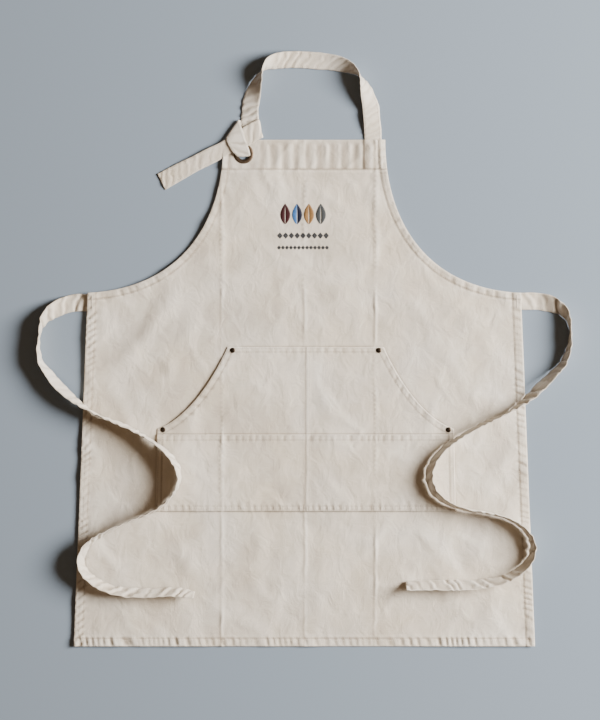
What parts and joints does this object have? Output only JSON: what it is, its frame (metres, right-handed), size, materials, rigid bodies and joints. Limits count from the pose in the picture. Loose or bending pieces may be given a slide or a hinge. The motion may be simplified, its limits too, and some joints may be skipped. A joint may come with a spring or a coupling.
{
  "type": "bib apron",
  "caption": "Canvas bib apron lying flat, with an adjustable neck strap through an eyelet, waist ties and layered front pockets.",
  "frame": {"origin": "middle of the footprint, on the surface that the apron lies on", "axes": "+Z out of the apron's front, +Y towards the neck, +X towards the side with the sewn strap end"},
  "size_m": [0.7995, 0.8913, 0.0317],
  "materials": {
    "canvas": "natural cotton canvas, plain weave, tonal stitching",
    "pocket_canvas": "natural cotton canvas, plain weave",
    "tape_canvas": "self-fabric tape, folded and edge-stitched",
    "ecru_thread": "ecru polyester sewing thread",
    "maroon_thread": "satin-stitched rayon thread",
    "blue_thread": "satin-stitched rayon thread",
    "tan_thread": "satin-stitched rayon thread",
    "grey_thread": "satin-stitched rayon thread",
    "dark_thread": "satin-stitched rayon thread",
    "eyelet_brass": "antique brass, brushed",
    "rivet_brass": "dark antique brass"
  },
  "bodies": {
    "apron": {"body_panel": "canvas", "bib_top_facing": "canvas", "armhole_facing_left": "canvas", "armhole_facing_right": "canvas", "side_hem_left": "canvas", "side_hem_right": "canvas", "bottom_hem": "canvas", "kangaroo_pocket": "pocket_canvas", "pocket_top_hem": "pocket_canvas", "hand_opening_facing_left": "pocket_canvas", "hand_opening_facing_right": "pocket_canvas", "lower_pocket": "pocket_canvas", "lower_pocket_hem": "pocket_canvas", "eyelet_flange": "eyelet_brass", "eyelet_washer": "eyelet_brass", "rivet_cap_top_left": "rivet_brass", "rivet_back_top_left": "rivet_brass", "rivet_cap_top_right": "rivet_brass", "rivet_back_top_right": "rivet_brass", "rivet_cap_side_left": "rivet_brass", "rivet_back_side_left": "rivet_brass", "rivet_cap_side_right": "rivet_brass", "rivet_back_side_right": "rivet_brass", "neck_strap_anchor": "tape_canvas", "neck_strap_back_pass": "tape_canvas", "neck_strap_knot": "tape_canvas", "tie_left_root": "tape_canvas", "tie_right_root": "tape_canvas", "leaf_maroon": "maroon_thread", "leaf_blue": "blue_thread", "leaf_tan": "tan_thread", "leaf_grey": "grey_thread", "stitch_bar_upper": "dark_thread", "stitch_bar_lower": "dark_thread", "divider_seam_upper": "ecru_thread", "divider_seam_lower": "ecru_thread", "strap_box_stitch": "ecru_thread", "bar_tack_left": "ecru_thread", "bar_tack_right": "ecru_thread"},
    "neck_loop": {"neck_strap_loop": "tape_canvas"},
    "strap_tail": {"neck_strap_tail": "tape_canvas"},
    "tie_left_loop": {"tie_left_loop": "tape_canvas"},
    "tie_left_run": {"tie_left_run": "tape_canvas"},
    "tie_right_loop": {"tie_right_loop": "tape_canvas"},
    "tie_right_run": {"tie_right_run": "tape_canvas"}
  },
  "joints": [
    {"name": "neck_loop_fold", "type": "hinge", "parent": "apron", "child": "neck_loop", "pos_m": [0.0095, 0.352, 0.004], "axis": [1, 0, 0], "range_deg": [0, 120]},
    {"name": "strap_tail_lift", "type": "hinge", "parent": "apron", "child": "strap_tail", "pos_m": [-0.1137, 0.3048, 0.0052], "axis": [-0.4679, 0.8838, 0], "range_deg": [0, 90]},
    {"name": "tie_left_swing", "type": "hinge", "parent": "apron", "child": "tie_left_loop", "pos_m": [-0.3966, 0.02, 0.013], "axis": [0, 0, -1], "range_deg": [-8, 75]},
    {"name": "tie_left_bend", "type": "hinge", "parent": "tie_left_loop", "child": "tie_left_run", "pos_m": [-0.3095, -0.0985, 0.0191], "axis": [0, 0, -1], "range_deg": [-8, 50]},
    {"name": "tie_right_swing", "type": "hinge", "parent": "apron", "child": "tie_right_loop", "pos_m": [0.3985, 0.025, 0.013], "axis": [0, 0, 1], "range_deg": [-8, 75]},
    {"name": "tie_right_bend", "type": "hinge", "parent": "tie_right_loop", "child": "tie_right_run", "pos_m": [0.3045, -0.0957, 0.0191], "axis": [0, 0, 1], "range_deg": [-8, 50]}
  ]
}
